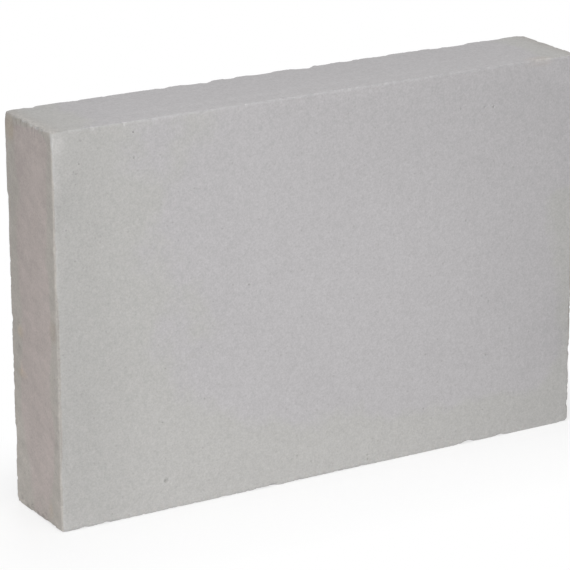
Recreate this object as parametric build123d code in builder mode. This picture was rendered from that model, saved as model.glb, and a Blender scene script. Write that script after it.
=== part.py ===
from build123d import *
from math import sqrt
import os

# Aerated concrete partition block, wire-cut from a risen cake and cured in steam.
# It is one solid casting, and it stands on its long narrow bed as it is laid in a wall.
# X runs along the block, Y from its front face to its back, and Z is up.
# The origin is the middle of the bottom bed. All sizes are in millimetres.

# Block
block_length = 600
block_thickness = 100
block_height = 400

# Wear from handling
arris_wear = 2.2        # radius that every arris is rubbed down to

# Ends of the arrises
left = -block_length / 2
right = block_length / 2
front = -block_thickness / 2
back = block_thickness / 2
bottom = 0
top = block_height

# Outward directions of the faces
leftward = Vector(-1, 0, 0)
rightward = Vector(1, 0, 0)
frontward = Vector(0, -1, 0)
backward = Vector(0, 1, 0)
downward = Vector(0, 0, -1)
upward = Vector(0, 0, 1)

# Arrises that have lost crumbs: where each starts and ends, and which way its two faces look
arrises = {
    "top back": (Vector(left, back, top), Vector(right, back, top), upward, backward),
    "top front": (Vector(left, front, top), Vector(right, front, top), upward, frontward),
    "top left": (Vector(left, front, top), Vector(left, back, top), upward, leftward),
    "top right": (Vector(right, front, top), Vector(right, back, top), upward, rightward),
    "bed front": (Vector(left, front, bottom), Vector(right, front, bottom), downward, frontward),
    "bed back": (Vector(left, back, bottom), Vector(right, back, bottom), downward, backward),
    "bed left": (Vector(left, front, bottom), Vector(left, back, bottom), downward, leftward),
    "front left": (Vector(left, front, bottom), Vector(left, front, top), frontward, leftward),
    "front right": (Vector(right, front, bottom), Vector(right, front, top), frontward, rightward),
    "back left": (Vector(left, back, bottom), Vector(left, back, top), backward, leftward),
    "back right": (Vector(right, back, bottom), Vector(right, back, top), backward, rightward),
}

# Crumbs lost from each arris: share of the way along it, length of the scoop along it,
# then how far the scoop reaches across the first face and across the second
crumbs = {
    "top back": (
        (0.045, 16, 4.5, 1.3),
        (0.26, 20, 2.8, 0.9),
        (0.284, 17, 5.0, 1.5),
        (0.342, 34, 6.0, 1.7),
        (0.364, 17, 8.0, 2.4),
        (0.41, 16, 4.5, 1.4),
        (0.457, 22, 4.8, 1.5),
        (0.486, 14, 4.0, 1.3),
        (0.548, 30, 7.0, 2.0),
        (0.56, 18, 8.6, 2.6),
        (0.597, 18, 3.6, 1.2),
        (0.637, 18, 4.8, 1.5),
        (0.82, 22, 5.6, 1.7),
        (0.853, 34, 5.0, 1.5),
    ),
    "top front": (
        (0.07, 8, 2.0, 2.6),
        (0.41, 7, 1.8, 2.4),
        (0.925, 38, 3.4, 3.0),
    ),
    "top left": (
        (0.14, 7, 1.6, 2.7),
        (0.22, 6, 1.5, 2.6),
        (0.40, 7, 1.7, 3.0),
        (0.55, 6, 1.5, 2.6),
        (0.83, 8, 1.8, 3.2),
    ),
    "top right": (
        (0.30, 10, 2.4, 2.8),
        (0.66, 14, 2.8, 3.2),
    ),
    "bed front": (
        (0.042, 10, 4.4, 1.3),
        (0.08, 11, 5.2, 1.5),
        (0.30, 12, 4.0, 1.2),
        (0.378, 30, 7.0, 2.0),
        (0.52, 9, 3.6, 1.1),
        (0.787, 17, 8.2, 2.5),
        (0.855, 12, 5.6, 1.6),
    ),
    "bed back": (
        (0.22, 14, 4.0, 3.2),
        (0.57, 10, 3.4, 2.8),
        (0.83, 18, 4.2, 3.6),
    ),
    "bed left": (
        (0.26, 34, 3.2, 2.1),
        (0.65, 9, 2.7, 1.7),
    ),
    "front left": (
        (0.20, 10, 2.0, 2.4),
        (0.713, 7, 2.6, 2.6),
    ),
    "front right": (
        (0.05, 12, 2.1, 3.4),
        (0.086, 9, 1.6, 2.7),
        (0.16, 30, 2.0, 3.3),
        (0.203, 12, 2.2, 3.6),
        (0.46, 10, 1.8, 2.8),
        (0.78, 9, 2.0, 2.4),
    ),
    "back left": (
        (0.165, 26, 2.4, 4.0),
        (0.30, 9, 1.8, 3.0),
        (0.38, 12, 1.6, 2.6),
        (0.478, 13, 2.2, 3.6),
        (0.573, 16, 1.5, 2.4),
        (0.75, 64, 1.6, 2.6),
    ),
    "back right": (
        (0.27, 16, 3.0, 3.6),
        (0.55, 12, 2.6, 3.2),
        (0.90, 10, 2.4, 3.0),
    ),
}

# Corners broken off: the corner, then how far the break reaches along X, Y and Z
broken_corners = (
    (Vector(left, back, bottom), (4, 5, 8)),
    (Vector(left, front, bottom), (5, 4, 5)),
    (Vector(right, front, bottom), (4, 4, 4)),
    (Vector(left, back, top), (7, 6, 5)),
    (Vector(right, back, top), (10, 6, 7)),
)


def stand_off(length, reach):
    """How far outside one face a sphere sits that cuts this length of arris and reaches this far in."""
    return (length**2 / 4 - reach**2) / (2 * reach)


def scoop(arris_point, first_way, second_way, length, first_reach, second_reach):
    """Take a round scoop out of an arris, with its own reach across each of the two faces."""
    beyond_first = stand_off(length, second_reach)
    beyond_second = stand_off(length, first_reach)
    radius = sqrt(length**2 / 4 + beyond_first**2 + beyond_second**2)
    with Locations(arris_point + first_way * beyond_first + second_way * beyond_second):
        Sphere(radius, mode=Mode.SUBTRACT)


def break_corner(corner, reach):
    """Split a corner off the part being built, along the plane through its three reaches."""
    x_reach, y_reach, z_reach = reach
    x_side = 1 if corner.X == right else -1
    y_side = 1 if corner.Y == back else -1
    z_side = 1 if corner.Z == top else -1
    on_long_arris = corner - Vector(x_side * x_reach, 0, 0)
    normal = Vector(x_side / x_reach, y_side / y_reach, z_side / z_reach)
    split(bisect_by=Plane(origin=on_long_arris, z_dir=normal), keep=Keep.BOTTOM)


# Block: the cut section carried up to its full height, then worn and knocked about
with BuildPart() as block:
    with BuildSketch(Plane.XY.offset(bottom)) as bed_outline:
        Rectangle(block_length, block_thickness)
    extrude(amount=block_height)
    fillet(block.edges(), arris_wear)
    for corner, reach in broken_corners:
        break_corner(corner, reach)
    for arris, losses in crumbs.items():
        start, end, first_way, second_way = arrises[arris]
        for share, length, first_reach, second_reach in losses:
            scoop(start + (end - start) * share, first_way, second_way, length, first_reach, second_reach)

block.part.label = "block"

os.makedirs("parts", exist_ok=True)
export_step(block.part, "parts/block.step")
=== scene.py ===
import math
import random
import bpy
import numpy as np
from mathutils import Matrix, Vector, noise
from mathutils.bvhtree import BVHTree
from mathutils.geometry import delaunay_2d_cdt


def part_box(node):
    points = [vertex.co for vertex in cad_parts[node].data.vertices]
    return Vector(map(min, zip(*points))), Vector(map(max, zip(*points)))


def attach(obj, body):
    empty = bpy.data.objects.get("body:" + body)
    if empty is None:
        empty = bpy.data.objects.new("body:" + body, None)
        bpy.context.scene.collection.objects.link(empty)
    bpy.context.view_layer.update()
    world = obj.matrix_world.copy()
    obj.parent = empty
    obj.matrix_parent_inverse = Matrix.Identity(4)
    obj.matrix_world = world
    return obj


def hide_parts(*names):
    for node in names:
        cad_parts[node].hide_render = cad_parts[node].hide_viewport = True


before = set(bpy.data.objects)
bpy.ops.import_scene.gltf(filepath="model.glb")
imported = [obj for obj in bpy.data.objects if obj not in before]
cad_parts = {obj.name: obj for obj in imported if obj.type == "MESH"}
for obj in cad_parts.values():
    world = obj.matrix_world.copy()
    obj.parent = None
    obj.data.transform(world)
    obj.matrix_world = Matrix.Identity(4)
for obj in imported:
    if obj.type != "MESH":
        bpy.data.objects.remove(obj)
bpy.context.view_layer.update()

mm = 0.001
low, high = (np.array(corner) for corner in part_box("block"))
dice = random.Random(41)

# The block. Its skin is a net of points over the six faces, closer together towards every arris.
# The net is laid on the solid, then worn, bitten, pitted, stained and painted with light and shade.
# Patterns are (size, octaves, shift).
block = {
    # The net
    "arrisPitch": 1.25 * mm,          # spacing of the points along each arris
    "rings": (                        # (distance in from the arris, spacing of the points there)
        (0.8 * mm, 1.3 * mm),
        (1.7 * mm, 1.4 * mm),
        (2.8 * mm, 1.7 * mm),
        (4.2 * mm, 2.1 * mm),
        (6.0 * mm, 2.7 * mm),
        (8.5 * mm, 3.4 * mm),
        (11.5 * mm, 4.2 * mm),
    ),
    "facePitch": 4.8 * mm,            # spacing inside the big faces and the beds
    "endPitch": 2.7 * mm,             # spacing inside the two ends, which are uneven
    "fillFrom": 0.8,                  # the inside starts this many spacings in from the last ring
    "fillEdge": 0.9,                  # and strays back to this share of that distance
    "jitter": 0.22,                   # share of the spacing that an inner point strays by
    "sameWithin": 0.03 * mm,          # points of two faces this close are one point of their arris
    "netEpsilon": 1e-6,               # how exactly the net's points are told apart
    "mapGap": 12 * mm,                # room between the faces in the map
    "mapSpan": 1.06,                  # metres of skin that the map's whole width takes in

    # Laying it on the solid
    "core": 14 * mm,                  # depth from which the skin is pushed out to the solid
    "onFace": 0.01 * mm,              # a point this close to a face of the square block lies on it
    "softReach": 9 * mm,              # the skin is eased this far in from the arrises
    "softShare": 0.5,
    "endTopReach": 7 * mm,            # and eased more where an end meets the top bed
    "endTopRounds": 2,

    # Crumbs and grains rubbed out of the arrises
    "crumbReach": 4.5 * mm,           # how far in from an arris
    "crumbDepth": 1.7 * mm,
    "crumbPattern": (5.0 * mm, 3, 3.7),
    "crumbFrom": 0.10,                # pattern level at which crumbs start to be missing
    "endRougher": 0.7,                # how much deeper the crumbs are where an end meets a bed
    "grainDepth": 0.30 * mm,
    "grainPattern": (2.2 * mm, 2, 9.1),
    "wornFrom": 1.2 * mm,             # lost depth at which the concrete counts as fully worn

    # Soft slanting waves on the ends
    "wave": 0.45 * mm,
    "waveLength": 34 * mm,
    "waveWay": (0.0, 0.82, 0.57),
    "waveBend": 2.6,                  # how much they wander
    "waveBendPattern": (60 * mm, 2, 1.3),
    "waveSwellPattern": (45 * mm, 2, 5.5),
    "waveFromArris": 8 * mm,          # they fade out this near an arris

    # Step left on the top bed where the wire was reset
    "ledge": 0.3 * mm,
    "ledgeBehindFront": 27 * mm,
    "ledgeWidth": 2.4 * mm,
    "ledgeFromArris": 12 * mm,
    "ledgeRows": (-0.9 * mm, 0.9 * mm),   # extra rows of points beside it
    "ledgeRowInset": 16 * mm,
    "ledgeRowPitch": 3 * mm,

    # The seen front arris of the left end, by height in mm: how far it has been rubbed back along the
    # front, and how far the end's skin wraps round it (below zero the front laps onto the end instead).
    # The wrap is partly painted shade: it carries the end's darker colour onto the rounded arris where the
    # end's shade reaches
    "heights": (0, 30, 55, 88, 105, 135, 150, 185, 212, 240, 258, 270, 330, 345, 400),
    "rubbed": (0.7, 0.4, 0.0, 1.4, 0.6, 0.8, 1.4, 1.2, 1.2, 0.3, 0.0, 0.5, 0.5, 0.0, 0.0),
    "raggedBy": 0.45,                 # how much the rubbing strays, in mm
    "raggedPattern": (7 * mm, 2, 4.4),
    "rubAlongFront": 6,               # how far it reaches along the front and across the end, in mm
    "rubAcrossEnd": 11.0,
    "wrapHeights": (0, 72, 90, 225, 245, 340, 380, 400),
    "wrap": (0.7, 0.7, 2.0, 1.8, 0.6, 0.5, -0.6, -4.5),
    "otherWrap": 0.8,                 # wrap at the other upright arrises of the ends, in mm
    "frontHalf": 50,                  # nearer the front than this an end belongs to the seen arris
    "wrapReach": 6,                   # no wrap goes further than this
    "wrapNear": 8 * mm,               # and its edge is ragged only this near an arris
    "wrapStart": 0.9,                 # share of the ends' colour at the wrap's edge
    "wrapSoft": 0.9,                  # length over which it fades out from there
    "wrapRaggedBy": 0.8,
    "wrapPattern": (9 * mm, 2, 7.7),
    "dustBelowTop": 0.1,              # dust from the top bed hides the ends' skin down to here, in mm
    "dustRaggedBy": 2.0,              # how much the dust's edge strays
    "dustSoft": 0.9,
    "dustInBites": 1.6,               # how thickly it lies in the bites
    "skinOnTop": 0.55,                # share of the ends' skin colour on the top bed beside them
    "skinOnTopReach": 11,             # and how far in it fades, in mm

    # Stretches of arris that stayed sharper: a face and its side, from and to along it, reach in mm,
    # share kept square
    "crisp": (
        ("top", "left", -5, 105, 3.5, 0.60),
        ("top", "right", -5, 105, 3.0, 0.50),
        ("top", "top", 32, 62, 3.0, 0.70),
        ("top", "top", 341, 347, 3.0, 0.35),
        ("top", "top", 420, 480, 3.0, 0.40),
        ("front", "bottom", 222, 231, 3.0, 0.50),
        ("front", "bottom", 242, 252, 3.0, 0.80),
        ("front", "bottom", 355, 460, 3.0, 0.60),
        ("front", "bottom", 484, 505, 3.0, 0.60),
        ("front", "bottom", 518, 589, 3.0, 0.80),
        ("back", "right", 318, 393, 3.5, 0.75),
        ("leftEnd", "bottom", 5, 35, 3.0, 0.40),
    ),
    "crispSoft": 6,                   # length over which such a stretch starts and ends

    # Small crumbs lost besides: a face and its side, middle and half length along it, depth in mm
    "bites": (
        ("top", "left", 31, 5.5, 1.1),
        ("top", "left", 22, 2.2, 1.0),
        ("top", "left", 43, 3.2, 0.9),
        ("top", "left", 60, 2.6, 0.9),
        ("top", "top", 246, 7.0, 1.5),
        ("top", "top", 284, 11.0, 1.6),
        ("top", "top", 27, 4.0, 1.5),
        ("top", "top", 352, 6.0, 1.3),
        ("top", "top", 386, 4.0, 1.0),
        ("top", "top", 424, 10.0, 1.2),
        ("top", "top", 514, 15.0, 2.0),
        ("top", "top", 562, 12.0, 1.1),
        ("front", "bottom", 237, 5.0, 1.2),
        ("back", "right", 76, 6.0, 1.1),
        ("back", "right", 52, 9.0, 0.6),
    ),
    "biteReach": (2, 1.5),            # a bite's reach: its depth times the first, plus the second in mm

    # Large open pores: face, distance along from its middle, height, width across and depth, in mm
    "openPores": (
        ("front", -275.3, 357.4, 1.8, 0.6),
        ("front", -277.6, 359.6, 1.6, 0.6),
        ("front", 197.3, 358.2, 2.6, 1.2),
        ("front", 186.2, 359.1, 2.2, 1.0),
        ("front", 157.0, 361.5, 2.1, 0.8),
        ("front", -213.8, 389.4, 2.0, 0.9),
        ("front", -213.3, 364.2, 2.8, 1.1),
        ("front", -276.0, 346.8, 1.6, 0.5),
        ("front", -184.7, 31.0, 4.6, 1.8),
        ("front", 48.7, 11.4, 2.2, 0.8),
        ("front", 49.2, 6.6, 2.2, 1.0),
        ("front", 193.0, 93.6, 2.2, 1.0),
        ("front", 166.0, 243.0, 3.0, 1.3),
        ("front", -89.2, 217.6, 2.5, 1.1),
        ("front", -299.0, 236.0, 2.6, 0.8),
        ("front", -299.2, 177.0, 2.8, 0.9),
        ("front", -299.0, 146.0, 2.4, 0.8),
        ("front", -298.6, 188.0, 2.4, 0.7),
        ("leftEnd", 47.6, 151.5, 2.4, 0.8),
        ("leftEnd", 46.5, 157.6, 2.2, 0.8),
        ("leftEnd", 47.2, 133.0, 2.4, 0.8),
        ("leftEnd", 45.9, 102.8, 2.6, 1.0),
        ("leftEnd", -31.5, 190.5, 2.6, 1.2),
        ("leftEnd", -34.5, 167.0, 2.8, 1.2),
        ("leftEnd", -14.9, 5.7, 3.0, 1.4),
        ("leftEnd", -9.6, 7.5, 2.2, 0.9),
        ("leftEnd", -3.3, 2.7, 2.8, 1.3),
        ("leftEnd", 8.6, 3.0, 2.8, 1.1),
        ("leftEnd", 15.1, 7.7, 2.2, 0.8),
        ("leftEnd", -38.3, 7.5, 2.6, 1.0),
        ("front", -271.9, 366.6, 2.0, 0.9),
        ("front", 195.0, 151.3, 1.9, 0.8),
        ("front", 190.0, 33.6, 1.9, 0.8),
        ("front", 119.7, 164.2, 1.8, 0.7),
        ("front", 118.0, 107.4, 1.9, 0.8),
        ("front", 116.3, 48.8, 1.9, 0.8),
        ("front", 123.0, 191.4, 1.8, 0.8),
        ("front", -188.2, 92.8, 2.0, 0.8),
        ("front", -183.9, 147.8, 1.8, 0.8),
        ("front", -141.1, 108.7, 1.9, 0.8),
        ("front", -247.1, 197.0, 1.9, 0.8),
        ("front", -286.7, 304.0, 1.9, 0.8),
        ("front", -278.2, 272.2, 1.8, 0.7),
        ("front", -18.4, 17.6, 1.8, 0.8),
        ("front", -34.9, 27.5, 1.8, 0.8),
    ),
    # the net round a pore: rings of (share of its radius, points round the ring)
    "poreRings": ((0.5, 6), (0.85, 9), (1.15, 11), (1.8, 12)),
    "poreClearing": 2.3,              # other points keep this many radii away
    "poreToArris": 0.4 * mm,          # a pore's points keep this far from an arris
    "poreBowl": 0.6,                  # below 1 the bottom of a pore is flatter

    # Paler and darker bands beside the arrises, and broad slopes of tone over the faces. A few are dust
    # rubbed out of the arrises and dirt rubbed in; most are painted light and shade: slopes standing in
    # for the lamps' falloff, a painted highlight and shade along the seen arrises and a painted pale rim
    # where the floor's light falls.
    # Face, its side, from and to along that side, middle of the band and its half width in mm, change of
    # tone
    "shadeAndDustBands": (
        # broad slopes over the front: painted shade and light standing in for the lamps' falloff
        ("front", "left", -20, 420, 0.0, 75.0, -0.135),
        ("front", "left", -20, 420, 0.0, 30.0, 0.020),
        ("front", "right", -20, 420, 0.0, 110.0, -0.038),
        ("front", "bottom", -20, 620, 0.0, 110.0, 0.032),
        ("front", "top", -20, 620, 0.0, 90.0, -0.035),
        ("front", "top", -20, 75, 0.0, 90.0, 0.025),
        # painted highlight and shade along the front's left and top arrises
        ("front", "left", 374, 402, 3.0, 6.5, 0.05),
        ("front", "top", 90, 620, 0.0, 3.2, -0.028),
        ("top", "bottom", 90, 620, 0.0, 3.0, -0.028),
        ("front", "top", 395, 515, 0.0, 3.2, -0.022),
        ("top", "bottom", 395, 515, 0.0, 3.0, -0.022),
        ("front", "top", 28, 75, 0.0, 3.2, -0.024),
        ("top", "bottom", 28, 75, 0.0, 3.0, -0.024),
        ("front", "top", 248, 285, 0.0, 3.2, -0.026),
        ("top", "bottom", 248, 285, 0.0, 3.0, -0.026),
        ("front", "top", 545, 575, 0.0, 3.5, -0.045),
        ("top", "bottom", 545, 575, 0.0, 3.5, -0.045),
        ("front", "left", 335, 374, 3.0, 4.2, 0.02),
        ("front", "left", 236, 270, 1.5, 3.2, 0.03),
        ("front", "left", 203, 232, 1.5, 3.2, -0.04),
        ("front", "left", 66, 102, 1.5, 3.4, -0.07),
        ("front", "left", 88, 235, 0.0, 1.8, -0.045),
        ("front", "left", 300, 340, 0.0, 9.0, -0.055),
        # a painted pale rim along the bottom arris, where the floor's light falls
        ("front", "bottom", 0, 600, 0.5, 6.0, 0.025),
        ("front", "right", 0, 400, 12.0, 9.0, -0.02),
        ("top", "left", -20, 120, 0.0, 90.0, -0.045),
        ("top", "left", 2, 78, 3.0, 3.4, 0.08),
        ("top", "right", -20, 120, 0.0, 120.0, 0.008),
        ("top", "bottom", -20, 620, 0.0, 30.0, 0.025),
        ("top", "top", -20, 620, 0.0, 25.0, -0.020),
        ("top", "bottom", 20, 620, 15.0, 6.0, -0.015),
        ("top", "bottom", -20, 440, 25.5, 5.0, 0.016),
        # the left end darker towards its top and paler towards its bottom: painted shade and light
        ("leftEnd", "top", -20, 120, 0.0, 160.0, -0.05),
        ("leftEnd", "bottom", -20, 120, 0.0, 80.0, 0.035),
        ("leftEnd", "left", -20, 420, 0.0, 50.0, -0.06),
        ("leftEnd", "left", 0, 400, 5.0, 8.0, 0.02),
        ("leftEnd", "right", 0, 400, 7.0, 5.0, -0.045),
        ("leftEnd", "right", 88, 235, 0.0, 11.0, -0.055),
        ("leftEnd", "right", 188, 216, 0.0, 8.0, -0.045),
        ("rightEnd", "top", -20, 120, 0.0, 160.0, -0.04),
        ("rightEnd", "left", 0, 400, 6.0, 7.0, -0.03),
        ("rightEnd", "right", 0, 400, 5.0, 8.0, -0.04),
        ("back", "bottom", 0, 600, 0.5, 6.0, 0.03),
        ("back", "right", -20, 420, 0.0, 90.0, -0.06),
        ("back", "right", 60, 330, 2.0, 4.0, 0.05),
        ("back", "left", 120, 402, 2.0, 3.6, 0.05),
    ),
    # Where the concrete is stained warm, and the ends brown instead of pink, given in the same way
    "stains": (
        ("front", "left", -20, 420, 0.0, 145.0, 1.0),
        ("front", "bottom", -20, 350, 0.0, 80.0, 1.0),
        ("front", "bottom", 350, 620, 0.0, 52.0, 0.9),
        ("front", "right", -20, 260, 0.0, 34.0, 0.7),
        ("top", "left", -20, 120, 0.0, 60.0, 0.9),
        ("top", "right", -20, 120, 0.0, 60.0, 0.8),
        ("back", "right", -20, 420, 0.0, 120.0, 1.0),
        ("back", "bottom", -20, 620, 0.0, 60.0, 1.0),
        ("leftEnd", "left", -20, 420, 0.0, 26.0, 1.0),
        ("leftEnd", "right", -20, 420, 0.0, 17.0, 1.0),
        ("leftEnd", "bottom", -20, 120, 0.0, 55.0, 0.5),
        ("leftEnd", "top", -20, 120, 0.0, 7.0, 1.0),
        ("rightEnd", "left", -20, 420, 0.0, 20.0, 1.0),
        ("rightEnd", "right", -20, 420, 0.0, 24.0, 1.0),
        ("rightEnd", "bottom", -20, 120, 0.0, 50.0, 0.8),
    ),
    "bandSoft": 14,                   # length over which a band starts and ends, in mm
    "bandFaint": 0.02,                # a band is left out where it is fainter than this
    "narrowBand": 15,                 # bands narrower than this are uneven
    "bandUneven": 0.9,
    "bandPattern": (16 * mm, 2),      # the middle of the band is its shift

    # Smudges: face, middle along and up from the face's corner, half width and half height in mm, change
    # of tone, share of ochre. The ochre ones are stains; many of the others are painted light and shade,
    # as noted among them
    "smudgesAndShade": (
        # painted shading of a shallow dent by the front's upper left corner
        ("front", 25, 358, 8, 10, -0.012, 0),
        ("front", 17, 345, 9, 12, -0.022, 0),
        ("front", 13, 327, 12, 14, -0.020, 0),
        ("front", 8, 386, 8, 12, 0.04, 0),
        # broad paler and darker patches over the front: painted light and shade for how the lamps' light
        # falls on it
        ("front", 375, 190, 130, 110, 0.022, 0),
        ("front", 145, 245, 70, 165, -0.028, 0),
        ("front", 570, 70, 50, 80, -0.022, 0),
        ("front", 582, 112, 22, 45, -0.022, 0),
        ("front", 592, 350, 16, 48, 0.026, 0),
        ("front", 14, 8, 30, 14, 0.028, 0),
        ("front", 335, 22, 115, 28, 0.018, 0),
        ("front", 10, 372, 24, 34, 0.022, 0),
        ("front", 590, 392, 50, 25, 0.035, 0),
        # painted shade in an open pore
        ("front", 115.3, 31, 2.8, 2.8, -0.08, 0),
        ("front", 553, 397, 18, 5, 0.0, 0.13),
        ("top", 555, 4, 18, 9, 0.0, 0.16),
        ("back", 420, 90, 30, 18, -0.03, 0),
        ("back", 150, 250, 22, 26, 0.02, 0),
        ("leftEnd", 4, 30, 38, 100, 0.08, 0),
        ("leftEnd", 20, 183, 8, 7, 0.03, 0.35),
        ("leftEnd", 16, 193, 4, 5, -0.08, 0.1),
        ("leftEnd", 15, 165, 8, 6, -0.10, 0),
        ("leftEnd", 20, 146, 3, 9, 0.07, 0.2),
        ("leftEnd", 21, 140, 12, 5, 0.0, 0.3),
        ("leftEnd", 91, 203, 8, 13, -0.08, 0.2),
        ("leftEnd", 80, 327, 5, 6, -0.05, 0),
        ("leftEnd", 91, 84, 5, 12, -0.07, 0),
        ("leftEnd", 10, 385, 12, 14, -0.03, 0.35),
        ("leftEnd", 76, 15, 5, 12, 0.0, 0.25),
        # painted shade in pores and notches along the bottom of the left end
        ("leftEnd", 35, 5.7, 3, 3, -0.2, 0),
        ("leftEnd", 46.7, 2.7, 3.5, 2.5, -0.25, 0),
        ("leftEnd", 58.6, 3.0, 4, 2.5, -0.25, 0),
        ("leftEnd", 65, 7.7, 4, 2, -0.14, 0),
        ("leftEnd", 11.7, 7.5, 3, 3, -0.2, 0),
        ("leftEnd", 25, 2.5, 4, 3, -0.2, 0),
        ("leftEnd", 80, 1.0, 10, 2.5, -0.12, 0),
        # painted shade in pits and bites along the top left arris
        ("leftEnd", 78, 399.0, 3.0, 2.4, -0.20, 0),
        ("leftEnd", 69, 398.0, 5.0, 3.0, -0.13, 0),
        ("top", 1.2, 22, 2.4, 3.0, -0.32, 0),
        ("top", 1.2, 31, 3.0, 6.0, -0.05, 0),
        ("rightEnd", 70, 250, 9, 14, -0.06, 0.2),
        ("rightEnd", 24, 120, 6, 8, -0.07, 0.1),
        ("rightEnd", 50, 330, 7, 6, 0.03, 0.3),
    ),
    "smudgeEdge": (1.1, 1.2),         # where a smudge ends, and how solid its middle is
    "smudgeUneven": 0.6,
    "smudgePattern": (12 * mm, 2, 2.2),
}


def makeFaces():
    # each face: where its lower left corner is, its two directions, its size and its place in the map
    (x0, y0, z0), (x1, y1, z1) = low, high
    long, deep, tall = high - low
    gap = block["mapGap"]
    lengthways, across, upwards = np.eye(3)
    return {
        "front": dict(at=(x0, y0, z0), u=lengthways, v=upwards, size=(long, tall), out=-across,
                      map=(0, 0)),
        "back": dict(at=(x1, y1, z0), u=-lengthways, v=upwards, size=(long, tall), out=across,
                     map=(0, tall + gap)),
        "top": dict(at=(x0, y0, z1), u=lengthways, v=across, size=(long, deep), out=upwards,
                    map=(0, 2 * (tall + gap))),
        "bed": dict(at=(x1, y0, z0), u=-lengthways, v=across, size=(long, deep), out=-upwards,
                    map=(0, 2 * (tall + gap) + deep + gap)),
        "leftEnd": dict(at=(x0, y1, z0), u=-across, v=upwards, size=(deep, tall), out=-lengthways,
                        map=(long + gap, 0)),
        "rightEnd": dict(at=(x1, y0, z0), u=across, v=upwards, size=(deep, tall), out=lengthways,
                         map=(long + gap, tall + gap)),
    }


def ringOfPoints(size, inset, pitch):
    wide, tall = size[0] - 2 * inset, size[1] - 2 * inset
    across, up = (max(2, round(side / pitch)) for side in (wide, tall))
    points = []
    for i in range(across):
        points.append((inset + wide * i / across, inset))
        points.append((inset + wide * (i + 1) / across, inset + tall))
    for i in range(up):
        points.append((inset, inset + tall * (i + 1) / up))
        points.append((inset + wide, inset + tall * i / up))
    return points


def fillOfPoints(size, inset, pitch):
    # rows of points, every second one half a step along, each point strayed a little
    rowPitch = pitch * math.sqrt(3) / 2
    rows = max(1, round((size[1] - 2 * inset) / rowPitch))
    columns = max(1, round((size[0] - 2 * inset) / pitch))
    edge = inset * block["fillEdge"]
    points = []
    for row in range(rows + 1):
        for column in range(columns + 1):
            u = inset + (column + 0.5 * (row % 2)) * (size[0] - 2 * inset) / columns
            v = inset + row * (size[1] - 2 * inset) / rows
            u += dice.uniform(-1, 1) * block["jitter"] * pitch
            v += dice.uniform(-1, 1) * block["jitter"] * pitch
            if edge < u < size[0] - edge and edge < v < size[1] - edge:
                points.append((u, v))
    return points


def poresOn(name, face):
    # pore centres in the face's own two directions
    found = []
    for porousFace, along, height, width, depth in block["openPores"]:
        if porousFace == name:
            middle = face["size"][0] / 2 + along * mm
            found.append((middle, height * mm, width * mm / 2, depth * mm))
    return found


def toEdge(u, v, size):
    return min(u, v, size[0] - u, size[1] - v)


def pointsOnFace(name, face):
    size = face["size"]
    points = ringOfPoints(size, 0, block["arrisPitch"])
    for inset, pitch in block["rings"]:
        points += ringOfPoints(size, inset, pitch)
    pitch = block["endPitch"] if "End" in name else block["facePitch"]
    points += fillOfPoints(size, block["rings"][-1][0] + block["fillFrom"] * pitch, pitch)
    for u, v, radius, depth in poresOn(name, face):
        clear = block["poreClearing"] * radius
        points = [p for p in points if math.hypot(p[0] - u, p[1] - v) > clear
                  or toEdge(*p, size) < block["onFace"]]
        points.append((u, v))
        for share, count in block["poreRings"]:
            for i in range(count):
                turn = 2 * math.pi * (i + share) / count
                x, y = u + share * radius * math.cos(turn), v + share * radius * math.sin(turn)
                if toEdge(x, y, size) > block["poreToArris"]:
                    points.append((x, y))
    if name == "top":
        inset, pitch = block["ledgeRowInset"], block["ledgeRowPitch"]
        for offset in block["ledgeRows"]:
            line = block["ledgeBehindFront"] + offset
            points += [(u, line) for u in np.arange(inset, size[0] - inset, pitch)]
    return points


def netOfFace(name, face):
    points = [Vector(p) for p in pointsOnFace(name, face)]
    flat, _, triangles, *_ = delaunay_2d_cdt(points, [], [], 0, block["netEpsilon"])
    flat = np.array([tuple(p) for p in flat])
    return flat, [tuple(t) for t in triangles]


def buildSkin(faces):
    # the six nets are sewn together where they share the points of an arris
    places, index, triangles, mapPoints = [], {}, [], []
    for name, face in faces.items():
        flat, faceTriangles = netOfFace(name, face)
        facePoints = np.array(face["at"]) + flat[:, :1] * face["u"] + flat[:, 1:] * face["v"]
        numbers = []
        for point in facePoints:
            key = tuple(np.round(point / block["sameWithin"]).astype(int))
            if key not in index:
                index[key] = len(places)
                places.append(point)
            numbers.append(index[key])
        mapped = (flat + np.array(face["map"])) / block["mapSpan"]
        for triangle in faceTriangles:
            corners = [numbers[i] for i in triangle]
            a, b, c = (places[i] for i in corners)
            turned = np.dot(np.cross(b - a, c - a), face["out"]) < 0
            order = (0, 2, 1) if turned else (0, 1, 2)
            triangles.append([corners[i] for i in order])
            mapPoints += [mapped[triangle[i]] for i in order]
    return np.array(places), np.array(triangles), np.array(mapPoints)


def readSolid():
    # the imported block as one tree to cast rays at
    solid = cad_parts["block"]
    return BVHTree.FromPolygons(
        [solid.matrix_world @ v.co for v in solid.data.vertices],
        [tuple(p.vertices) for p in solid.data.polygons],
    )


def pushOutToSolid(places, tree):
    # from an inner box each point goes straight out until it meets the worn, chipped surface
    inner = np.clip(places, low + block["core"], high - block["core"])
    snapped = places.copy()
    for i, (start, end) in enumerate(zip(inner, places)):
        way = Vector(end - start).normalized()
        hit = tree.ray_cast(Vector(start), way)[0]
        if hit is not None:
            snapped[i] = hit
    return snapped, inner


def neighboursMean(places, triangles):
    total = np.zeros_like(places)
    count = np.zeros(len(places))
    for a, b in ((0, 1), (1, 2), (2, 0)):
        for first, second in ((a, b), (b, a)):
            np.add.at(total, triangles[:, first], places[triangles[:, second]])
            np.add.at(count, triangles[:, first], 1)
    return total / count[:, None]


def arrisDistance(places):
    # how far each point of the square block lies from the nearest arris
    fromFaces = np.sort(np.minimum(places - low, high - places), axis=1)
    return fromFaces[:, 1]


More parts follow.
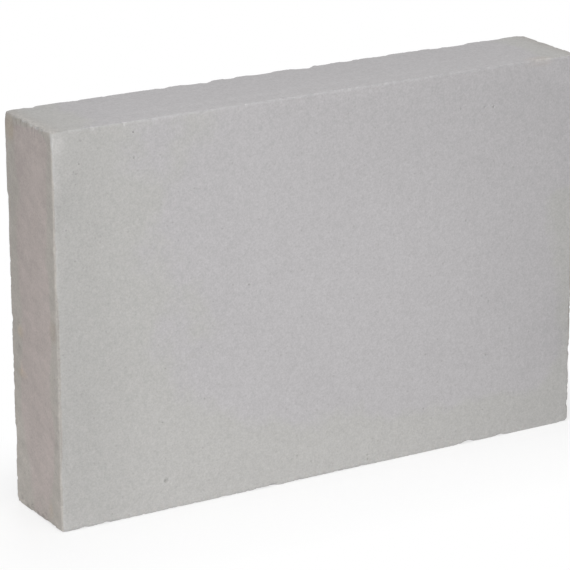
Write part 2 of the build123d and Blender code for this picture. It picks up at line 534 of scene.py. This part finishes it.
def endDistance(places):
    return np.minimum(places[:, 0] - low[0], high[0] - places[:, 0])


def easeSkin(square, places, triangles):
    # takes the kinks of the net out of the arrises, and more where an end meets the top bed
    soft = arrisDistance(square) < block["softReach"]
    share = block["softShare"]
    mean = neighboursMean(places, triangles)
    places[soft] = (1 - share) * places[soft] + share * mean[soft]
    fromEndTop = np.maximum(endDistance(square), high[2] - square[:, 2])
    for _ in range(block["endTopRounds"]):
        mean = neighboursMean(places, triangles)
        places[fromEndTop < block["endTopReach"]] = mean[fromEndTop < block["endTopReach"]]
    return places


def noiseAt(places, size, octaves, shift):
    # every octave is half as strong and half as large as the one before
    away = Vector((shift, shift, shift))
    return np.array([noise.fractal(Vector(p) / size + away, 1.0, 2.0, octaves) for p in places])


def between(along, start, end, soft):
    # 1 from start to end, fading in and out over the soft length
    return np.clip((along - start) / soft + 0.5, 0, 1) * np.clip((end - along) / soft + 0.5, 0, 1)


def fromArris(face, square, side):
    # how far all the points lie from one arris of a face, how far along it, and the way straight in
    offset = (square - np.array(face["at"])) / mm
    u, v = offset @ face["u"], offset @ face["v"]
    wide, tall = (length / mm for length in face["size"])
    aside, along, outward = {
        "left": (u, v, -face["u"]),
        "right": (wide - u, v, face["u"]),
        "bottom": (v, u, -face["v"]),
        "top": (tall - v, u, face["v"]),
    }[side]
    return np.hypot(aside, offset @ face["out"]), along, -(outward + face["out"]) / math.sqrt(2)


def keepCrisp(square, faces):
    kept = np.zeros(len(square))
    for name, side, start, end, reach, share in block["crisp"]:
        away, along, _ = fromArris(faces[name], square, side)
        within = between(along, start, end, block["crispSoft"])
        kept = np.maximum(kept, share * np.exp(-((away / reach) ** 2)) * within)
    return kept


def rubSeenArris(square, places):
    # the arris that is nearest the camera moves back along the front, and the end's surface follows
    alongFront, acrossEnd = block["rubAlongFront"], block["rubAcrossEnd"]
    fromEnd, fromFront = (square[:, 0] - low[0]) / mm, (square[:, 1] - low[1]) / mm
    here = np.nonzero((fromEnd < alongFront) & (fromFront < acrossEnd))[0]
    height = (square[here, 2] - low[2]) / mm
    rubbed = np.interp(height, block["heights"], block["rubbed"])
    onArris = square[here] * (0, 0, 1)
    rubbed = np.maximum(rubbed + block["raggedBy"] * noiseAt(onArris, *block["raggedPattern"]), 0)
    fade = (1 - fromEnd[here] / alongFront) * (1 - fromFront[here] / acrossEnd)
    moved = places.copy()
    moved[here, 0] += rubbed * fade * mm
    return moved


def biteArrises(square, places, faces):
    bitten = np.zeros(len(square))
    perDepth, plus = block["biteReach"]
    for name, side, middle, half, depth in block["bites"]:
        away, along, inward = fromArris(faces[name], square, side)
        hole = np.clip(1 - (away / (perDepth * depth + plus)) ** 2, 0, 1)
        hole *= np.clip(1 - ((along - middle) / half) ** 2, 0, 1)
        places = places + (hole * depth * mm)[:, None] * inward
        bitten = np.maximum(bitten, hole)
    return places, bitten


def addRelief(square, places, inner, kept):
    inward = inner - places
    inward /= np.linalg.norm(inward, axis=1)[:, None]
    rubbed = np.zeros(len(places))

    # crumbs and grains gone from the arrises
    near = np.clip(1 - arrisDistance(square) / block["crumbReach"], 0, 1) * (1 - kept)
    fromFaces = np.minimum(square - low, high - square)
    endToBed = np.maximum(fromFaces[:, 0], fromFaces[:, 2]) < block["crumbReach"]
    near *= 1 + block["endRougher"] * endToBed
    band = np.nonzero(near > 0)[0]
    crumbs = noiseAt(square[band], *block["crumbPattern"])
    grains = noiseAt(square[band], *block["grainPattern"])
    rubbed[band] += near[band] * block["crumbDepth"] * np.clip(crumbs - block["crumbFrom"], 0, 1)
    rubbed[band] += near[band] * block["grainDepth"] * (0.5 + 0.5 * grains)

    # everything before the ledge lies a little lower
    onTop = np.nonzero(high[2] - square[:, 2] < block["onFace"])[0]
    fromFront = square[onTop, 1] - low[1]
    before = np.clip((block["ledgeBehindFront"] - fromFront) / block["ledgeWidth"] + 0.5, 0, 1)
    rise = np.clip(fromFront / block["ledgeBehindFront"], 0, 1)
    inset = np.clip(arrisDistance(square[onTop]) / block["ledgeFromArris"], 0, 1)
    rubbed[onTop] += block["ledge"] * before * rise * inset

    # waves on the ends
    onEnd = np.nonzero(endDistance(square) < block["onFace"])[0]
    leaning = square[onEnd] @ np.array(block["waveWay"])
    bend = block["waveBend"] * noiseAt(square[onEnd], *block["waveBendPattern"])
    wave = np.sin(2 * math.pi * leaning / block["waveLength"] + bend)
    inset = np.clip(arrisDistance(square[onEnd]) / block["waveFromArris"], 0, 1)
    swell = noiseAt(square[onEnd], *block["waveSwellPattern"])
    rubbed[onEnd] += inset * block["wave"] * (0.5 + 0.5 * wave * swell)
    return places + inward * rubbed[:, None]


def stampPores(square, places, faces):
    pitted = np.zeros(len(places))
    for name, face in faces.items():
        for u, v, radius, depth in poresOn(name, face):
            centre = np.array(face["at"]) + u * face["u"] + v * face["v"]
            offset = square - centre
            onThisFace = np.abs(offset @ face["out"]) < block["onFace"]
            away = np.linalg.norm(offset, axis=1) / radius
            bowl = np.clip(1 - away**2, 0, 1) ** block["poreBowl"]
            hole = np.where(onThisFace, bowl, 0) * depth
            places = places - hole[:, None] * face["out"]
            pitted = np.maximum(pitted, hole / depth)
    return places, pitted


def fromSide(face, square, side):
    # the points on a face, their distance from one of its sides, and how far along that side they are
    offset = square - np.array(face["at"])
    onFace = np.nonzero(np.abs(offset @ face["out"]) < block["onFace"])[0]
    u, v = offset[onFace] @ face["u"], offset[onFace] @ face["v"]
    wide, tall = face["size"]
    away, along = {
        "left": (u, v),
        "right": (wide - u, v),
        "bottom": (v, u),
        "top": (tall - v, u),
    }[side]
    return onFace, away / mm, along / mm


def paintBands(values, square, faces, marks):
    for name, side, start, end, middle, width, change in marks:
        onFace, away, along = fromSide(faces[name], square, side)
        close = np.exp(-((away - middle) / width) ** 2)
        here = close > block["bandFaint"]
        onFace, along, close = onFace[here], along[here], close[here]
        within = between(along, start, end, block["bandSoft"])
        if width < block["narrowBand"]:
            uneven = noiseAt(square[onFace], *block["bandPattern"], middle)
            within *= 1 + block["bandUneven"] * uneven
        values[onFace] += change * close * within


def paintSmudgesAndShade(toneAndShade, ochre, square, faces):
    edge, middle = block["smudgeEdge"]
    for name, along, up, wide, tall, change, ochreShare in block["smudgesAndShade"]:
        onFace, u, v = fromSide(faces[name], square, "left")
        away = np.hypot((u - along) / wide, (v - up) / tall)
        here = away < edge
        onFace, strength = onFace[here], np.clip(middle - away[here] ** 2, 0, 1)
        uneven = noiseAt(square[onFace], *block["smudgePattern"])
        strength *= 1 + block["smudgeUneven"] * uneven
        toneAndShade[onFace] += change * strength
        ochre[onFace] += ochreShare * strength


def endSkin(square, bitten):
    # 1 on the ends' sawn skin, fading where it wraps round an arris or where dust has covered it; round
    # the seen front arris the wrap is partly painted shade
    fromEnd = endDistance(square) / mm
    fromFront = (square[:, 1] - low[1]) / mm
    fromTop = (high[2] - square[:, 2]) / mm
    height = (square[:, 2] - low[2]) / mm
    onEnd = fromEnd < block["onFace"] / mm
    nearEnd = fromEnd < block["wrapReach"]
    reach = np.interp(height, block["wrapHeights"], block["wrap"])
    reach = np.where(fromFront < block["frontHalf"], reach, block["otherWrap"])
    near = np.nonzero(nearEnd & (arrisDistance(square) < block["wrapNear"]))[0]
    ragged = np.zeros(len(square))
    ragged[near] = noiseAt(square[near], *block["wrapPattern"])
    beyond = np.where(onEnd, -fromFront, fromEnd) - reach - block["wrapRaggedBy"] * ragged
    wrapped = np.clip(block["wrapStart"] - beyond / block["wrapSoft"], 0, 1)
    skinned = np.where(nearEnd, wrapped, 0)

    belowDust = fromTop - block["dustBelowTop"] - block["dustRaggedBy"] * ragged
    bare = np.clip(belowDust / block["dustSoft"], 0, 1)
    bare *= np.clip(1 - block["dustInBites"] * bitten, 0, 1)
    skinned = np.where(onEnd, np.minimum(skinned, bare), skinned)

    onTop = fromTop < block["onFace"] / mm
    skinOnTop = block["skinOnTop"] * np.exp(-(fromEnd / block["skinOnTopReach"]) ** 2)
    return np.where(onTop, skinOnTop, skinned)


def addValues(mesh, name, values):
    layer = mesh.attributes.new(name, "FLOAT", "POINT")
    layer.data.foreach_set("value", np.asarray(values, dtype=np.float32))


def buildBlock():
    faces = makeFaces()
    square, triangles, mapPoints = buildSkin(faces)
    print("block: skin of", len(square), "points and", len(triangles), "triangles")
    places, inner = pushOutToSolid(square, readSolid())
    kept = keepCrisp(square, faces)
    places += kept[:, None] * (square - places)
    places = easeSkin(square, places, triangles)
    print("block: skin laid on the solid")
    places = rubSeenArris(square, places)
    places, bitten = biteArrises(square, places, faces)
    places = addRelief(square, places, inner, kept)
    places, pitted = stampPores(square, places, faces)
    places = np.clip(places, low, high)
    print("block: arrises worn and pores opened")

    mesh = bpy.data.meshes.new("block_skin")
    mesh.from_pydata([tuple(p) for p in places], [], [tuple(int(i) for i in t) for t in triangles])
    mesh.polygons.foreach_set("use_smooth", [True] * len(triangles))
    bakeMap = mesh.uv_layers.new(name="OFBake")
    bakeMap.data.foreach_set("uv", mapPoints.astype(np.float32).ravel())
    lost = np.linalg.norm(places - square, axis=1)
    addValues(mesh, "worn", np.clip(lost / block["wornFrom"], 0, 1))
    # how far into an open pore, for the painted shade the material puts there
    addValues(mesh, "pitted", pitted)
    toneAndShade, stain, ochre = np.ones(len(square)), np.zeros(len(square)), np.zeros(len(square))
    paintBands(toneAndShade, square, faces, block["shadeAndDustBands"])
    paintBands(stain, square, faces, block["stains"])
    paintSmudgesAndShade(toneAndShade, ochre, square, faces)
    # the tone holds painted light and shade besides dust and dirt
    addValues(mesh, "toneAndShade", toneAndShade)
    addValues(mesh, "stain", np.clip(stain, 0, 1))
    addValues(mesh, "ochre", np.clip(ochre, 0, 1))
    addValues(mesh, "endFace", endSkin(square, bitten))
    print("block: bands, stains and smudges painted")
    mesh.validate()
    mesh.update()
    dressed = bpy.data.objects.new("block_skin", mesh)
    bpy.context.scene.collection.objects.link(dressed)
    return dressed


# Colours and finish of the concrete
concrete = {
    "grey": (0.4865, 0.4740, 0.4815),
    "warmGrey": (0.4800, 0.4730, 0.4610),
    "endPink": (0.4550, 0.4040, 0.3855),
    "endBrown": (0.4310, 0.4040, 0.3740),
    "ochre": (0.4900, 0.4000, 0.3050),
    "powder": (0.560, 0.553, 0.545),   # crushed grains on the worn arrises
    "powderShare": 0.2,                # share of it where an arris is fully worn
    # painted shade inside the pores
    "poreShade": (0.250, 0.240, 0.235),
    "poreShadeShare": 0.22,                 # share of that painted shade in a fine pore, and in a large open one
    "openPoreShadeShare": 0.35,
    "poreSpacing": 6.0 * mm,
    "poreEdge": (0.12, 0.25),          # a fine pore's rim starts and ends at these shares of the spacing
    "poreUneven": 0.22,                # how much smaller some of them are
    "poreDepth": 0.8,                  # in the bump, where a grain is up to 1 high
    "grain": 0.21,                     # sandy change of tone from grain to grain
    "grainPattern": (1.9 * mm, 3, 0.7),    # patterns here are (size, detail, roughness)
    "clump": 0.055,                    # grains gather in clumps
    "clumpPattern": (6.0 * mm, 1.5, 0.55),
    "cloud": 0.008,                    # soft changes of tone over a hand's width
    "cloudPattern": (90 * mm, 3, 0.55),
    "blotch": 0.006,                   # and over a finger's width
    "endBlotch": 0.065,                # the ends are blotchier, in slanting patches
    "blotchPattern": (15 * mm, 2.5, 0.55),
    "blotchSlant": 27,
    "blotchStretch": (1, 1.8, 0.85),
    "stainPattern": (70 * mm, 4, 0.55),    # the stains' edges wander
    "stainWander": 0.25,
    "stainEdge": (0.40, 0.60),
    "drip": 0.24,                      # dark runs down the ends from their top arris
    "dripPattern": (2.6 * mm, 1, 0.55),
    "dripStretch": (1, 1, 0.12),
    "dripEdge": (0.5, 0.7),
    "dripHeights": (0.382, 0.397),     # they fade in between these heights
    "bump": 0.22 * mm,
    "bumpStrength": 0.8,
    "roughness": 0.92,
    "roughnessSpread": 0.05,
    "specular": 0.15,
}
patternRange = (0.3, 0.7)              # a noise pattern mostly stays between these


def mixColours(tree, blendType, factor, first, second):
    mix = tree.nodes.new("ShaderNodeMix")
    mix.data_type = "RGBA"
    mix.blend_type = blendType
    factorSocket, firstSocket, secondSocket = mix.inputs[0], mix.inputs[6], mix.inputs[7]
    for socket, value in ((factorSocket, factor), (firstSocket, first), (secondSocket, second)):
        if isinstance(value, bpy.types.NodeSocket):
            tree.links.new(value, socket)
        elif isinstance(value, tuple):
            socket.default_value = (*value, 1)
        else:
            socket.default_value = value
    return mix.outputs[2]


def noiseNode(tree, where, size, detail, roughness):
    node = tree.nodes.new("ShaderNodeTexNoise")
    node.inputs["Scale"].default_value = 1 / size
    node.inputs["Detail"].default_value = detail
    node.inputs["Roughness"].default_value = roughness
    tree.links.new(where, node.inputs["Vector"])
    return node.outputs["Fac"]


def mappingNode(tree, where, kind, scale, slant=0):
    node = tree.nodes.new("ShaderNodeMapping")
    node.vector_type = kind
    node.inputs["Rotation"].default_value = (math.radians(slant), 0, 0)
    node.inputs["Scale"].default_value = scale
    tree.links.new(where, node.inputs["Vector"])
    return node.outputs["Vector"]


def remap(tree, value, fromRange, toRange):
    node = tree.nodes.new("ShaderNodeMapRange")
    for socket, number in zip(("From Min", "From Max", "To Min", "To Max"), (*fromRange, *toRange)):
        node.inputs[socket].default_value = number
    tree.links.new(value, node.inputs["Value"])
    return node.outputs["Result"]


def mathNode(tree, operation, first, second):
    node = tree.nodes.new("ShaderNodeMath")
    node.operation = operation
    for socket, value in enumerate((first, second)):
        if isinstance(value, bpy.types.NodeSocket):
            tree.links.new(value, node.inputs[socket])
        else:
            node.inputs[socket].default_value = value
    return node.outputs[0]


def times(tree, first, second):
    return mathNode(tree, "MULTIPLY", first, second)


def attributeNode(tree, name):
    node = tree.nodes.new("ShaderNodeAttribute")
    node.attribute_name = name
    return node.outputs["Fac"]


def finePores(tree, where):
    # 1 in the middle of a fine pore, 0 between them
    cells = tree.nodes.new("ShaderNodeTexVoronoi")
    cells.inputs["Scale"].default_value = 1 / concrete["poreSpacing"]
    tree.links.new(where, cells.inputs["Vector"])
    cellValue = tree.nodes.new("ShaderNodeSeparateColor")
    tree.links.new(cells.outputs["Color"], cellValue.inputs[0])
    uneven = times(tree, cellValue.outputs[0], concrete["poreUneven"])
    fromMiddle = mathNode(tree, "ADD", cells.outputs["Distance"], uneven)
    return remap(tree, fromMiddle, concrete["poreEdge"], (1, 0))


def darkRuns(tree, where, endFace):
    # short runs hanging from the ends' top arris
    hanging = mappingNode(tree, where, "POINT", concrete["dripStretch"])
    streaks = noiseNode(tree, hanging, *concrete["dripPattern"])
    runs = remap(tree, streaks, concrete["dripEdge"], (0, concrete["drip"]))
    place = tree.nodes.new("ShaderNodeSeparateXYZ")
    tree.links.new(where, place.inputs[0])
    runs = times(tree, runs, remap(tree, place.outputs["Z"], concrete["dripHeights"], (0, 1)))
    return times(tree, runs, endFace)


def concreteTone(tree, where, grain, endFace):
    # painted light and shade from the bands and smudges, with grain, clumps, clouds, blotches and dark
    # runs, all as one change of tone
    toneAndShade = attributeNode(tree, "toneAndShade")
    clump = noiseNode(tree, where, *concrete["clumpPattern"])
    cloud = noiseNode(tree, where, *concrete["cloudPattern"])
    for pattern, amount in ((grain, "grain"), (clump, "clump"), (cloud, "cloud")):
        half = concrete[amount] / 2
        toneAndShade = times(tree, toneAndShade, remap(tree, pattern, patternRange, (1 - half, 1 + half)))
    stretch, slant = concrete["blotchStretch"], concrete["blotchSlant"]
    slanted = mappingNode(tree, where, "TEXTURE", stretch, slant)
    blotch = noiseNode(tree, slanted, *concrete["blotchPattern"])
    depth = remap(tree, endFace, (0, 1), (concrete["blotch"], concrete["endBlotch"]))
    mottle = times(tree, remap(tree, blotch, patternRange, (-1, 1)), depth)
    toneAndShade = times(tree, toneAndShade, mathNode(tree, "ADD", mottle, 1))
    return times(tree, toneAndShade, mathNode(tree, "SUBTRACT", 1, darkRuns(tree, where, endFace)))


def makeConcrete():
    material = bpy.data.materials.new("aeratedConcrete")
    material.use_nodes = True
    tree = material.node_tree
    shader = tree.nodes["Principled BSDF"]
    where = tree.nodes.new("ShaderNodeTexCoord").outputs["Object"]
    grain = noiseNode(tree, where, *concrete["grainPattern"])
    pores = finePores(tree, where)
    endFace = attributeNode(tree, "endFace")

    wander = concrete["stainWander"]
    ragged = noiseNode(tree, where, *concrete["stainPattern"])
    ragged = remap(tree, ragged, patternRange, (-wander, wander))
    stain = mathNode(tree, "ADD", attributeNode(tree, "stain"), ragged)
    stain = remap(tree, stain, concrete["stainEdge"], (0, 1))
    body = mixColours(tree, "MIX", stain, concrete["grey"], concrete["warmGrey"])
    endBody = mixColours(tree, "MIX", stain, concrete["endPink"], concrete["endBrown"])
    body = mixColours(tree, "MIX", endFace, body, endBody)
    body = mixColours(tree, "MIX", attributeNode(tree, "ochre"), body, concrete["ochre"])
    powder = times(tree, attributeNode(tree, "worn"), concrete["powderShare"])
    body = mixColours(tree, "MIX", powder, body, concrete["powder"])

    toneAndShade = concreteTone(tree, where, grain, endFace)
    toneColour = tree.nodes.new("ShaderNodeCombineColor")
    for channel in range(3):
        tree.links.new(toneAndShade, toneColour.inputs[channel])
    body = mixColours(tree, "MULTIPLY", 1.0, body, toneColour.outputs[0])
    # the fine and the open pores darkened with painted shade
    for holes, share in ((pores, "poreShadeShare"), (attributeNode(tree, "pitted"), "openPoreShadeShare")):
        body = mixColours(tree, "MIX", times(tree, holes, concrete[share]), body, concrete["poreShade"])
    tree.links.new(body, shader.inputs["Base Color"])

    middle, spread = concrete["roughness"], concrete["roughnessSpread"]
    rough = remap(tree, grain, patternRange, (middle - spread, middle + spread))
    tree.links.new(rough, shader.inputs["Roughness"])
    shader.inputs["Specular IOR Level"].default_value = concrete["specular"]

    bump = tree.nodes.new("ShaderNodeBump")
    bump.inputs["Strength"].default_value = concrete["bumpStrength"]
    bump.inputs["Distance"].default_value = concrete["bump"]
    height = mathNode(tree, "SUBTRACT", grain, times(tree, pores, concrete["poreDepth"]))
    tree.links.new(height, bump.inputs["Height"])
    tree.links.new(bump.outputs["Normal"], shader.inputs["Normal"])
    return material


# Pale floor, white for the camera beyond the block's soft shadow
floor = {
    "size": 9.0,
    "grey": (0.70, 0.70, 0.70),
    "seenAs": (1, 1, 1),
    "shadowShare": 0.34,               # share of the lit floor in what the camera sees beside the block
    "clearFrom": 0.01,                 # the shadow fades out between these distances from the block
    "clearTo": 0.16,
}


def seenRays(tree):
    # 1 for what the camera sees, also in a gloss or through glass
    rays = tree.nodes.new("ShaderNodeLightPath")
    seen = mathNode(tree, "MAXIMUM", rays.outputs["Is Camera Ray"], rays.outputs["Is Glossy Ray"])
    return mathNode(tree, "MAXIMUM", seen, rays.outputs["Is Transmission Ray"])


def vectorNode(tree, operation, first, second=None):
    node = tree.nodes.new("ShaderNodeVectorMath")
    node.operation = operation
    tree.links.new(first, node.inputs[0])
    if second is not None:
        node.inputs[1].default_value = second
    return node.outputs["Value" if operation == "LENGTH" else "Vector"]


def buildFloor():
    half = floor["size"] / 2
    corners = [(-half, -half, 0), (half, -half, 0), (half, half, 0), (-half, half, 0)]
    mesh = bpy.data.meshes.new("floor")
    mesh.from_pydata(corners, [], [(0, 1, 2, 3)])
    plane = bpy.data.objects.new("floor", mesh)
    plane.location.z = low[2]
    bpy.context.scene.collection.objects.link(plane)

    material = bpy.data.materials.new("paleFloor")
    material.use_nodes = True
    tree = material.node_tree
    tree.nodes.remove(tree.nodes["Principled BSDF"])
    seen = seenRays(tree)
    matt = tree.nodes.new("ShaderNodeBsdfDiffuse")
    paint = mixColours(tree, "MIX", seen, floor["grey"], floor["seenAs"])
    tree.links.new(paint, matt.inputs["Color"])
    white = tree.nodes.new("ShaderNodeEmission")

    # distance from the block's footprint
    where = tree.nodes.new("ShaderNodeTexCoord").outputs["Object"]
    across = vectorNode(tree, "ABSOLUTE", where)
    beyond = vectorNode(tree, "SUBTRACT", across, (high[0], high[1], 0))
    away = vectorNode(tree, "LENGTH", vectorNode(tree, "MAXIMUM", beyond, (0, 0, 0)))
    plain = remap(tree, away, (floor["clearFrom"], floor["clearTo"]), (1 - floor["shadowShare"], 1))
    mix = tree.nodes.new("ShaderNodeMixShader")
    tree.links.new(times(tree, seen, plain), mix.inputs[0])
    tree.links.new(matt.outputs["BSDF"], mix.inputs[1])
    tree.links.new(white.outputs["Emission"], mix.inputs[2])
    tree.links.new(mix.outputs["Shader"], tree.nodes["Material Output"].inputs["Surface"])
    mesh.materials.append(material)


# Soft studio light
studio = {
    "lamps": {
        "frontLeft": dict(at=(-1.8, -2.4, 0.35), aim=(0, 0, 0.2), size=1.4, power=70.6),
        "overhead": dict(at=(-0.5, -0.6, 3.1), aim=(0, 0, 0.2), size=1.4, power=44.4),
        "behind": dict(at=(1.4, 2.8, 0.9), aim=(0, 0, 0.2), size=1.4, power=32.3),
    },
    "sky": 0.2925,                     # strength of the even light from all round
}


def buildLights():
    for name, lamp in studio["lamps"].items():
        data = bpy.data.lights.new(name, "AREA")
        data.shape = "SQUARE"
        data.size = lamp["size"]
        data.energy = lamp["power"]
        holder = bpy.data.objects.new(name, data)
        holder.location = lamp["at"]
        towards = Vector(lamp["aim"]) - Vector(lamp["at"])
        holder.rotation_euler = towards.to_track_quat("-Z", "Y").to_euler()
        bpy.context.scene.collection.objects.link(holder)

    world = bpy.data.worlds.new("studio")
    bpy.context.scene.world = world
    world.use_nodes = True
    tree = world.node_tree
    background = tree.nodes["Background"]
    background.inputs["Color"].default_value = (1, 1, 1, 1)
    strength = remap(tree, seenRays(tree), (0, 1), (studio["sky"], 1))
    tree.links.new(strength, background.inputs["Strength"])


# The photograph's view
view = {
    "at": (-1.48229, -2.46902, 1.12171),
    "azimuth": 30.6506,                # degrees round from the front, below level and of lean
    "downward": 17.9603,
    "roll": -0.2039,
    "lens": 189.401,                   # focal length and width of the sensor in mm
    "sensor": 36,
    "seesTo": 40,
}


def buildCamera():
    data = bpy.data.cameras.new("camera")
    data.lens = view["lens"]
    data.sensor_width = view["sensor"]
    data.sensor_fit = "HORIZONTAL"
    data.clip_end = view["seesTo"]
    camera = bpy.data.objects.new("camera", data)
    turn = Matrix.Rotation(-math.radians(view["azimuth"]), 4, "Z")
    tilt = Matrix.Rotation(math.radians(90 - view["downward"]), 4, "X")
    roll = Matrix.Rotation(math.radians(view["roll"]), 4, "Z")
    camera.matrix_world = Matrix.Translation(view["at"]) @ turn @ tilt @ roll
    bpy.context.scene.collection.objects.link(camera)
    bpy.context.scene.camera = camera


print("building the block")
blockSkin = buildBlock()
blockSkin.data.materials.append(makeConcrete())
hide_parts("block")
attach(blockSkin, "root")
print("block: concrete mixed")

print("building the stage")
buildFloor()
buildLights()
buildCamera()
bpy.context.scene.view_settings.view_transform = "Standard"

bpy.context.view_layer.update()
print("done")
